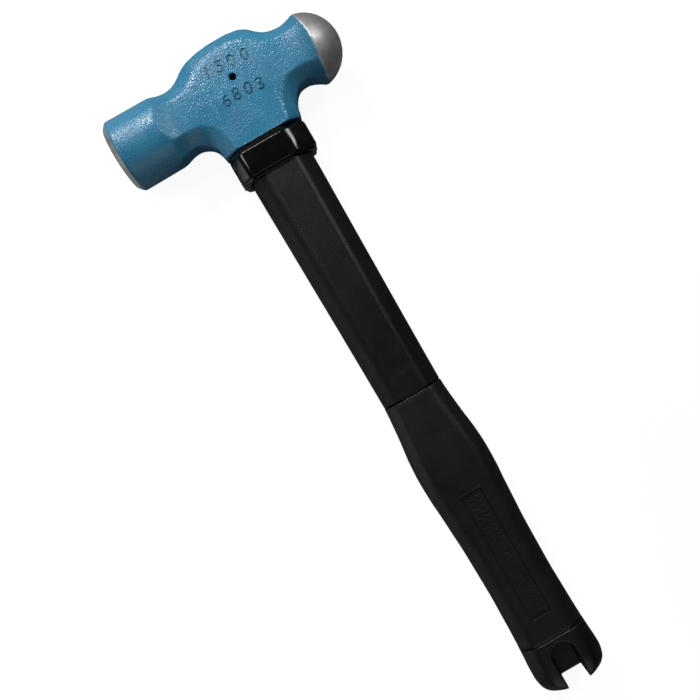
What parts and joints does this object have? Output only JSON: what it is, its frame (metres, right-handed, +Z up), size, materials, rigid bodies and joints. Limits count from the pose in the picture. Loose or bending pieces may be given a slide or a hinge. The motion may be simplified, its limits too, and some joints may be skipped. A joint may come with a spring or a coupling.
{
  "type": "ball peen hammer",
  "caption": "Ball peen hammer with a blue painted forged head, bare steel ball and face, and a black moulded handle with a slotted butt.",
  "frame": {"origin": "under the middle of the hammer's box, on the plane that the poll stands on when the hammer lies on its side", "axes": "+X along the handle from the head to the butt, +Y from the striking face to the ball, +Z up through the hammer's thickness"},
  "size_m": [0.3324, 0.116, 0.035],
  "materials": {
    "blue_paint": "blue hammered-texture paint on forged steel",
    "bare_steel": "ground and polished bare steel",
    "gloss_black": "glossy moulded black",
    "moulded_black": "satin moulded black"
  },
  "bodies": {
    "root": {"head": "blue_paint", "head_lock_plate": "bare_steel", "eye_filler": "moulded_black", "cross_pin": "bare_steel", "core_rod_1": "bare_steel", "core_rod_2": "bare_steel", "core_rod_3": "bare_steel", "core_rod_4": "bare_steel", "core_spacer_head": "moulded_black", "core_spacer_middle": "moulded_black", "core_spacer_butt": "moulded_black", "collar": "gloss_black", "handle_sleeve": "moulded_black", "grip": "moulded_black", "butt_cap": "moulded_black"}
  },
  "joints": []
}
